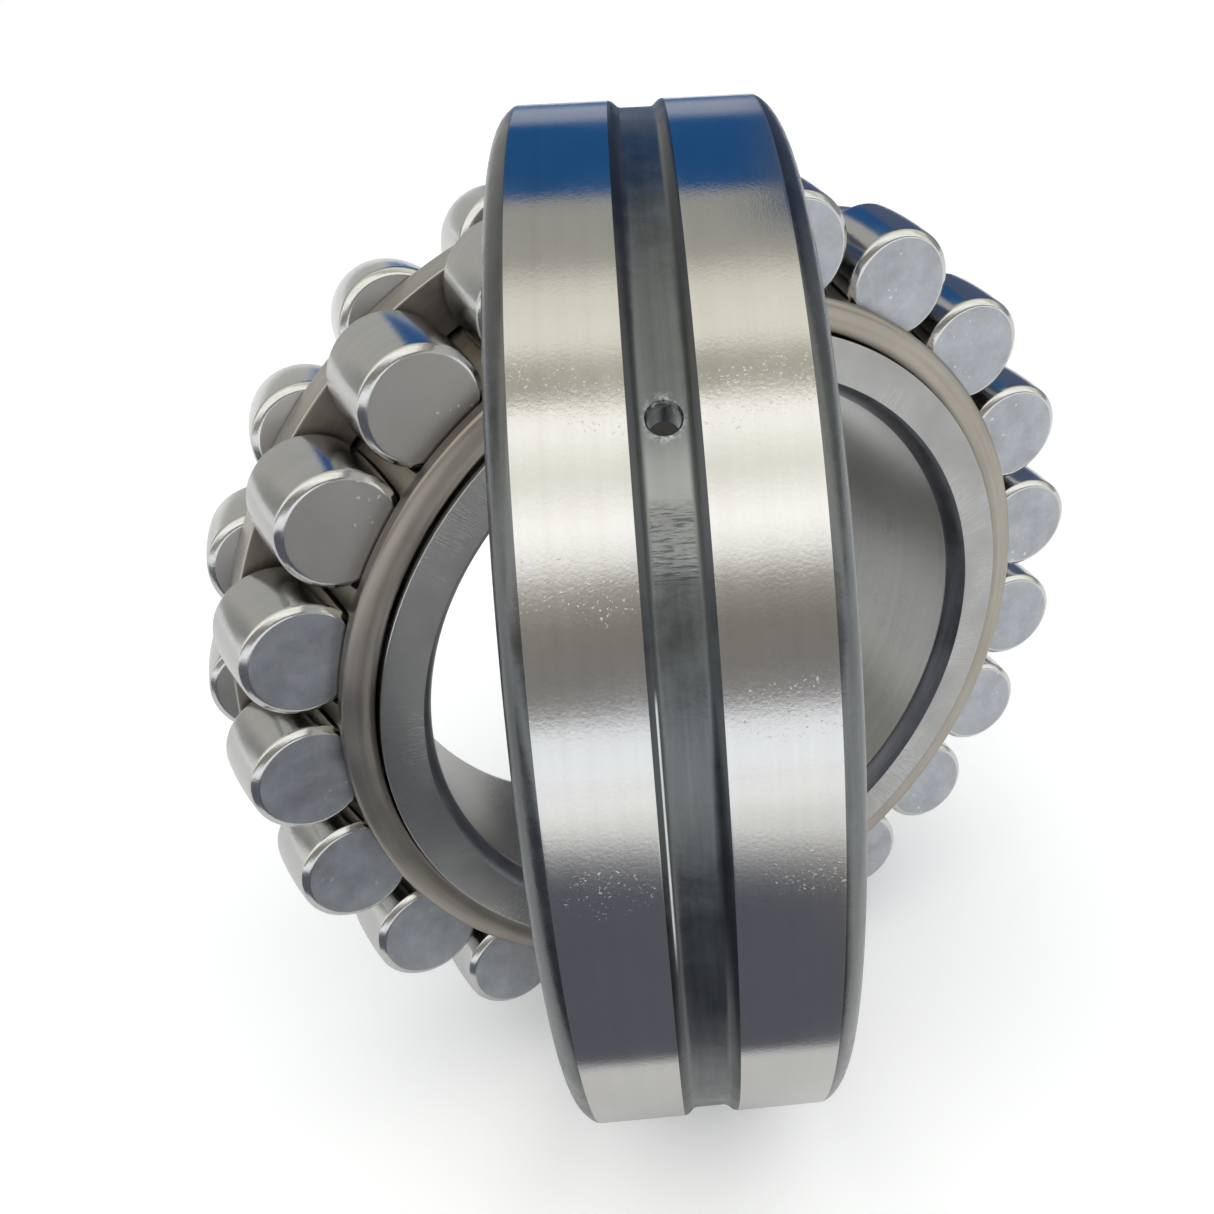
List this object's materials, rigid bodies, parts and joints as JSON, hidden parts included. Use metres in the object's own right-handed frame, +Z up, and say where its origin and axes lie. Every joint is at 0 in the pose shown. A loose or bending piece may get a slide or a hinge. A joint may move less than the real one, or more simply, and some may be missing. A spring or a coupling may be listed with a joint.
{
  "type": "spherical roller bearing",
  "caption": "Self-aligning bearing with two rows of barrel rollers, pressed cages and a guide ring, its inner ring swivelled out of a grooved outer ring with oil holes.",
  "frame": {"origin": "the bearing's centre: the centre of the outer ring's spherical raceway, where both rings' axes cross", "axes": "+X along the outer ring's axis, +Z up along the swivel axis, -Y towards the side where the oil hole is seen; the inner ring's axis lies in the XY plane, 67.07 degrees from +X towards -Y"},
  "size_m": [0.1171, 0.13, 0.13],
  "materials": {
    "ground_ring": "fine-ground, circumferential brushing, dark unground groove and edges",
    "inner_ring": "ground faces and bore",
    "guide_ring": "turned, satin",
    "cage": "pressed sheet steel, satin, warm grey-brown",
    "roller": "polished barrels with satin end faces"
  },
  "bodies": {
    "outer_ring": {"outer_ring": "ground_ring"},
    "guide_ring": {"guide_ring": "guide_ring"},
    "inner_ring": {"inner_ring": "inner_ring"},
    "front_cage": {"front_cage": "cage"},
    "rear_cage": {"rear_cage": "cage"},
    "front_roller_01": {"front_roller_01": "roller"},
    "front_roller_02": {"front_roller_02": "roller"},
    "front_roller_03": {"front_roller_03": "roller"},
    "front_roller_04": {"front_roller_04": "roller"},
    "front_roller_05": {"front_roller_05": "roller"},
    "front_roller_06": {"front_roller_06": "roller"},
    "front_roller_07": {"front_roller_07": "roller"},
    "front_roller_08": {"front_roller_08": "roller"},
    "front_roller_09": {"front_roller_09": "roller"},
    "front_roller_10": {"front_roller_10": "roller"},
    "front_roller_11": {"front_roller_11": "roller"},
    "front_roller_12": {"front_roller_12": "roller"},
    "front_roller_13": {"front_roller_13": "roller"},
    "front_roller_14": {"front_roller_14": "roller"},
    "front_roller_15": {"front_roller_15": "roller"},
    "front_roller_16": {"front_roller_16": "roller"},
    "front_roller_17": {"front_roller_17": "roller"},
    "front_roller_18": {"front_roller_18": "roller"},
    "front_roller_19": {"front_roller_19": "roller"},
    "front_roller_20": {"front_roller_20": "roller"},
    "front_roller_21": {"front_roller_21": "roller"},
    "rear_roller_01": {"rear_roller_01": "roller"},
    "rear_roller_02": {"rear_roller_02": "roller"},
    "rear_roller_03": {"rear_roller_03": "roller"},
    "rear_roller_04": {"rear_roller_04": "roller"},
    "rear_roller_05": {"rear_roller_05": "roller"},
    "rear_roller_06": {"rear_roller_06": "roller"},
    "rear_roller_07": {"rear_roller_07": "roller"},
    "rear_roller_08": {"rear_roller_08": "roller"},
    "rear_roller_09": {"rear_roller_09": "roller"},
    "rear_roller_10": {"rear_roller_10": "roller"},
    "rear_roller_11": {"rear_roller_11": "roller"},
    "rear_roller_12": {"rear_roller_12": "roller"},
    "rear_roller_13": {"rear_roller_13": "roller"},
    "rear_roller_14": {"rear_roller_14": "roller"},
    "rear_roller_15": {"rear_roller_15": "roller"},
    "rear_roller_16": {"rear_roller_16": "roller"},
    "rear_roller_17": {"rear_roller_17": "roller"},
    "rear_roller_18": {"rear_roller_18": "roller"},
    "rear_roller_19": {"rear_roller_19": "roller"},
    "rear_roller_20": {"rear_roller_20": "roller"},
    "rear_roller_21": {"rear_roller_21": "roller"}
  },
  "joints": [
    {"name": "swivel", "type": "hinge", "parent": "outer_ring", "child": "guide_ring", "pos_m": [0, 0, 0], "axis": [0, 0, 1], "range_deg": [-22.93, 67.07]},
    {"name": "inner_spin", "type": "hinge", "parent": "guide_ring", "child": "inner_ring", "pos_m": [0, 0, 0], "axis": [0.3896, -0.921, 0], "continuous": true},
    {"name": "front_cage_orbit", "type": "hinge", "parent": "guide_ring", "child": "front_cage", "pos_m": [0, 0, 0], "axis": [0.3896, -0.921, 0], "continuous": true},
    {"name": "rear_cage_orbit", "type": "hinge", "parent": "guide_ring", "child": "rear_cage", "pos_m": [0, 0, 0], "axis": [0.3896, -0.921, 0], "continuous": true},
    {"name": "front_roller_01_spin", "type": "hinge", "parent": "front_cage", "child": "front_roller_01", "pos_m": [0.00049, -0.00805, 0.0523], "axis": [0.3924, -0.9086, -0.1435], "continuous": true},
    {"name": "front_roller_02_spin", "type": "hinge", "parent": "front_cage", "child": "front_roller_02", "pos_m": [-0.0136, -0.01401, 0.04919], "axis": [0.431, -0.8922, -0.1349], "continuous": true},
    {"name": "front_roller_03_spin", "type": "hinge", "parent": "front_cage", "child": "front_roller_03", "pos_m": [-0.02622, -0.01934, 0.0417], "axis": [0.4656, -0.8776, -0.1144], "continuous": true},
    {"name": "front_roller_04_spin", "type": "hinge", "parent": "front_cage", "child": "front_roller_04", "pos_m": [-0.03624, -0.02358, 0.03051], "axis": [0.4931, -0.8659, -0.0837], "continuous": true},
    {"name": "front_roller_05_spin", "type": "hinge", "parent": "front_cage", "child": "front_roller_05", "pos_m": [-0.04278, -0.02635, 0.01661], "axis": [0.511, -0.8583, -0.0456], "continuous": true},
    {"name": "front_roller_06_spin", "type": "hinge", "parent": "front_cage", "child": "front_roller_06", "pos_m": [-0.04526, -0.0274, 0.00123], "axis": [0.5178, -0.8555, -0.0034], "continuous": true},
    {"name": "front_roller_07_spin", "type": "hinge", "parent": "front_cage", "child": "front_roller_07", "pos_m": [-0.04345, -0.02663, -0.01426], "axis": [0.5129, -0.8576, 0.0391], "continuous": true},
    {"name": "front_roller_08_spin", "type": "hinge", "parent": "front_cage", "child": "front_roller_08", "pos_m": [-0.03752, -0.02412, -0.02848], "axis": [0.4966, -0.8645, 0.0781], "continuous": true},
    {"name": "front_roller_09_spin", "type": "hinge", "parent": "front_cage", "child": "front_roller_09", "pos_m": [-0.02799, -0.02009, -0.04017], "axis": [0.4705, -0.8755, 0.1102], "continuous": true},
    {"name": "front_roller_10_spin", "type": "hinge", "parent": "front_cage", "child": "front_roller_10", "pos_m": [-0.01571, -0.0149, -0.04829], "axis": [0.4368, -0.8898, 0.1325], "continuous": true},
    {"name": "front_roller_11_spin", "type": "hinge", "parent": "front_cage", "child": "front_roller_11", "pos_m": [-0.00177, -0.009, -0.05212], "axis": [0.3985, -0.9059, 0.143], "continuous": true},
    {"name": "front_roller_12_spin", "type": "hinge", "parent": "front_cage", "child": "front_roller_12", "pos_m": [0.01259, -0.00293, -0.05132], "axis": [0.3592, -0.9226, 0.1408], "continuous": true},
    {"name": "front_roller_13_spin", "type": "hinge", "parent": "front_cage", "child": "front_roller_13", "pos_m": [0.02609, 0.00279, -0.04596], "axis": [0.3221, -0.9383, 0.1261], "continuous": true},
    {"name": "front_roller_14_spin", "type": "hinge", "parent": "front_cage", "child": "front_roller_14", "pos_m": [0.03754, 0.00763, -0.03651], "axis": [0.2907, -0.9516, 0.1002], "continuous": true},
    {"name": "front_roller_15_spin", "type": "hinge", "parent": "front_cage", "child": "front_roller_15", "pos_m": [0.04591, 0.01117, -0.02382], "axis": [0.2677, -0.9613, 0.0654], "continuous": true},
    {"name": "front_roller_16_spin", "type": "hinge", "parent": "front_cage", "child": "front_roller_16", "pos_m": [0.05047, 0.0131, -0.00902], "axis": [0.2552, -0.9666, 0.0247], "continuous": true},
    {"name": "front_roller_17_spin", "type": "hinge", "parent": "front_cage", "child": "front_roller_17", "pos_m": [0.05081, 0.01324, 0.00659], "axis": [0.2543, -0.967, -0.0181], "continuous": true},
    {"name": "front_roller_18_spin", "type": "hinge", "parent": "front_cage", "child": "front_roller_18", "pos_m": [0.0469, 0.01159, 0.02161], "axis": [0.265, -0.9624, -0.0593], "continuous": true},
    {"name": "front_roller_19_spin", "type": "hinge", "parent": "front_cage", "child": "front_roller_19", "pos_m": [0.03908, 0.00828, 0.03471], "axis": [0.2865, -0.9533, -0.0952], "continuous": true},
    {"name": "front_roller_20_spin", "type": "hinge", "parent": "front_cage", "child": "front_roller_20", "pos_m": [0.02805, 0.00362, 0.04473], "axis": [0.3167, -0.9405, -0.1227], "continuous": true},
    {"name": "front_roller_21_spin", "type": "hinge", "parent": "front_cage", "child": "front_roller_21", "pos_m": [0.0148, -0.00199, 0.05077], "axis": [0.3531, -0.9252, -0.1393], "continuous": true},
    {"name": "rear_roller_01_spin", "type": "hinge", "parent": "rear_cage", "child": "rear_roller_01", "pos_m": [-0.00164, 0.00756, 0.05235], "axis": [0.3892, -0.9099, 0.1436], "continuous": true},
    {"name": "rear_roller_02_spin", "type": "hinge", "parent": "rear_cage", "child": "rear_roller_02", "pos_m": [-0.01591, 0.00152, 0.05045], "axis": [0.35, -0.9265, 0.1384], "continuous": true},
    {"name": "rear_roller_03_spin", "type": "hinge", "parent": "rear_cage", "child": "rear_roller_03", "pos_m": [-0.02903, -0.00403, 0.04406], "axis": [0.3141, -0.9417, 0.1209], "continuous": true},
    {"name": "rear_roller_04_spin", "type": "hinge", "parent": "rear_cage", "child": "rear_roller_04", "pos_m": [-0.03983, -0.0086, 0.03376], "axis": [0.2844, -0.9542, 0.0926], "continuous": true},
    {"name": "rear_roller_05_spin", "type": "hinge", "parent": "rear_cage", "child": "rear_roller_05", "pos_m": [-0.04736, -0.01178, 0.02046], "axis": [0.2638, -0.963, 0.0561], "continuous": true},
    {"name": "rear_roller_06_spin", "type": "hinge", "parent": "rear_cage", "child": "rear_roller_06", "pos_m": [-0.05094, -0.0133, 0.00534], "axis": [0.2539, -0.9671, 0.0147], "continuous": true},
    {"name": "rear_roller_07_spin", "type": "hinge", "parent": "rear_cage", "child": "rear_roller_07", "pos_m": [-0.05026, -0.01301, -0.01025], "axis": [0.2558, -0.9663, -0.0281], "continuous": true},
    {"name": "rear_roller_08_spin", "type": "hinge", "parent": "rear_cage", "child": "rear_roller_08", "pos_m": [-0.04538, -0.01094, -0.02493], "axis": [0.2692, -0.9607, -0.0684], "continuous": true},
    {"name": "rear_roller_09_spin", "type": "hinge", "parent": "rear_cage", "child": "rear_roller_09", "pos_m": [-0.03672, -0.00728, -0.0374], "axis": [0.2929, -0.9506, -0.1026], "continuous": true},
    {"name": "rear_roller_10_spin", "type": "hinge", "parent": "rear_cage", "child": "rear_roller_10", "pos_m": [-0.02507, -0.00235, -0.04654], "axis": [0.3249, -0.9371, -0.1277], "continuous": true},
    {"name": "rear_roller_11_spin", "type": "hinge", "parent": "rear_cage", "child": "rear_roller_11", "pos_m": [-0.01145, 0.00341, -0.05155], "axis": [0.3623, -0.9213, -0.1414], "continuous": true},
    {"name": "rear_roller_12_spin", "type": "hinge", "parent": "rear_cage", "child": "rear_roller_12", "pos_m": [0.00292, 0.00949, -0.05198], "axis": [0.4017, -0.9046, -0.1426], "continuous": true},
    {"name": "rear_roller_13_spin", "type": "hinge", "parent": "rear_cage", "child": "rear_roller_13", "pos_m": [0.01677, 0.01534, -0.04779], "axis": [0.4397, -0.8885, -0.1311], "continuous": true},
    {"name": "rear_roller_14_spin", "type": "hinge", "parent": "rear_cage", "child": "rear_roller_14", "pos_m": [0.02886, 0.02046, -0.03935], "axis": [0.4729, -0.8745, -0.108], "continuous": true},
    {"name": "rear_roller_15_spin", "type": "hinge", "parent": "rear_cage", "child": "rear_roller_15", "pos_m": [0.03813, 0.02438, -0.02742], "axis": [0.4983, -0.8637, -0.0752], "continuous": true},
    {"name": "rear_roller_16_spin", "type": "hinge", "parent": "rear_cage", "child": "rear_roller_16", "pos_m": [0.04375, 0.02676, -0.01305], "axis": [0.5137, -0.8572, -0.0358], "continuous": true},
    {"name": "rear_roller_17_spin", "type": "hinge", "parent": "rear_cage", "child": "rear_roller_17", "pos_m": [0.04522, 0.02738, 0.00248], "axis": [0.5177, -0.8555, 0.0068], "continuous": true},
    {"name": "rear_roller_18_spin", "type": "hinge", "parent": "rear_cage", "child": "rear_roller_18", "pos_m": [0.0424, 0.02619, 0.01779], "axis": [0.51, -0.8588, 0.0488], "continuous": true},
    {"name": "rear_roller_19_spin", "type": "hinge", "parent": "rear_cage", "child": "rear_roller_19", "pos_m": [0.03556, 0.02329, 0.03152], "axis": [0.4912, -0.8667, 0.0865], "continuous": true},
    {"name": "rear_roller_20_spin", "type": "hinge", "parent": "rear_cage", "child": "rear_roller_20", "pos_m": [0.02529, 0.01895, 0.04245], "axis": [0.4631, -0.8786, 0.1164], "continuous": true},
    {"name": "rear_roller_21_spin", "type": "hinge", "parent": "rear_cage", "child": "rear_roller_21", "pos_m": [0.01251, 0.01354, 0.0496], "axis": [0.428, -0.8935, 0.1361], "continuous": true}
  ],
  "couplings": [
    {"joint": "front_cage_orbit", "follows": "inner_spin", "ratio": 0.4343},
    {"joint": "rear_cage_orbit", "follows": "inner_spin", "ratio": 0.4343},
    {"joint": "front_roller_01_spin", "follows": "inner_spin", "ratio": -3.7029},
    {"joint": "front_roller_02_spin", "follows": "inner_spin", "ratio": -3.7029},
    {"joint": "front_roller_03_spin", "follows": "inner_spin", "ratio": -3.7029},
    {"joint": "front_roller_04_spin", "follows": "inner_spin", "ratio": -3.7029},
    {"joint": "front_roller_05_spin", "follows": "inner_spin", "ratio": -3.7029},
    {"joint": "front_roller_06_spin", "follows": "inner_spin", "ratio": -3.7029},
    {"joint": "front_roller_07_spin", "follows": "inner_spin", "ratio": -3.7029},
    {"joint": "front_roller_08_spin", "follows": "inner_spin", "ratio": -3.7029},
    {"joint": "front_roller_09_spin", "follows": "inner_spin", "ratio": -3.7029},
    {"joint": "front_roller_10_spin", "follows": "inner_spin", "ratio": -3.7029},
    {"joint": "front_roller_11_spin", "follows": "inner_spin", "ratio": -3.7029},
    {"joint": "front_roller_12_spin", "follows": "inner_spin", "ratio": -3.7029},
    {"joint": "front_roller_13_spin", "follows": "inner_spin", "ratio": -3.7029},
    {"joint": "front_roller_14_spin", "follows": "inner_spin", "ratio": -3.7029},
    {"joint": "front_roller_15_spin", "follows": "inner_spin", "ratio": -3.7029},
    {"joint": "front_roller_16_spin", "follows": "inner_spin", "ratio": -3.7029},
    {"joint": "front_roller_17_spin", "follows": "inner_spin", "ratio": -3.7029},
    {"joint": "front_roller_18_spin", "follows": "inner_spin", "ratio": -3.7029},
    {"joint": "front_roller_19_spin", "follows": "inner_spin", "ratio": -3.7029},
    {"joint": "front_roller_20_spin", "follows": "inner_spin", "ratio": -3.7029},
    {"joint": "front_roller_21_spin", "follows": "inner_spin", "ratio": -3.7029},
    {"joint": "rear_roller_01_spin", "follows": "inner_spin", "ratio": -3.7029},
    {"joint": "rear_roller_02_spin", "follows": "inner_spin", "ratio": -3.7029},
    {"joint": "rear_roller_03_spin", "follows": "inner_spin", "ratio": -3.7029},
    {"joint": "rear_roller_04_spin", "follows": "inner_spin", "ratio": -3.7029},
    {"joint": "rear_roller_05_spin", "follows": "inner_spin", "ratio": -3.7029},
    {"joint": "rear_roller_06_spin", "follows": "inner_spin", "ratio": -3.7029},
    {"joint": "rear_roller_07_spin", "follows": "inner_spin", "ratio": -3.7029},
    {"joint": "rear_roller_08_spin", "follows": "inner_spin", "ratio": -3.7029},
    {"joint": "rear_roller_09_spin", "follows": "inner_spin", "ratio": -3.7029},
    {"joint": "rear_roller_10_spin", "follows": "inner_spin", "ratio": -3.7029},
    {"joint": "rear_roller_11_spin", "follows": "inner_spin", "ratio": -3.7029},
    {"joint": "rear_roller_12_spin", "follows": "inner_spin", "ratio": -3.7029},
    {"joint": "rear_roller_13_spin", "follows": "inner_spin", "ratio": -3.7029},
    {"joint": "rear_roller_14_spin", "follows": "inner_spin", "ratio": -3.7029},
    {"joint": "rear_roller_15_spin", "follows": "inner_spin", "ratio": -3.7029},
    {"joint": "rear_roller_16_spin", "follows": "inner_spin", "ratio": -3.7029},
    {"joint": "rear_roller_17_spin", "follows": "inner_spin", "ratio": -3.7029},
    {"joint": "rear_roller_18_spin", "follows": "inner_spin", "ratio": -3.7029},
    {"joint": "rear_roller_19_spin", "follows": "inner_spin", "ratio": -3.7029},
    {"joint": "rear_roller_20_spin", "follows": "inner_spin", "ratio": -3.7029},
    {"joint": "rear_roller_21_spin", "follows": "inner_spin", "ratio": -3.7029}
  ]
}
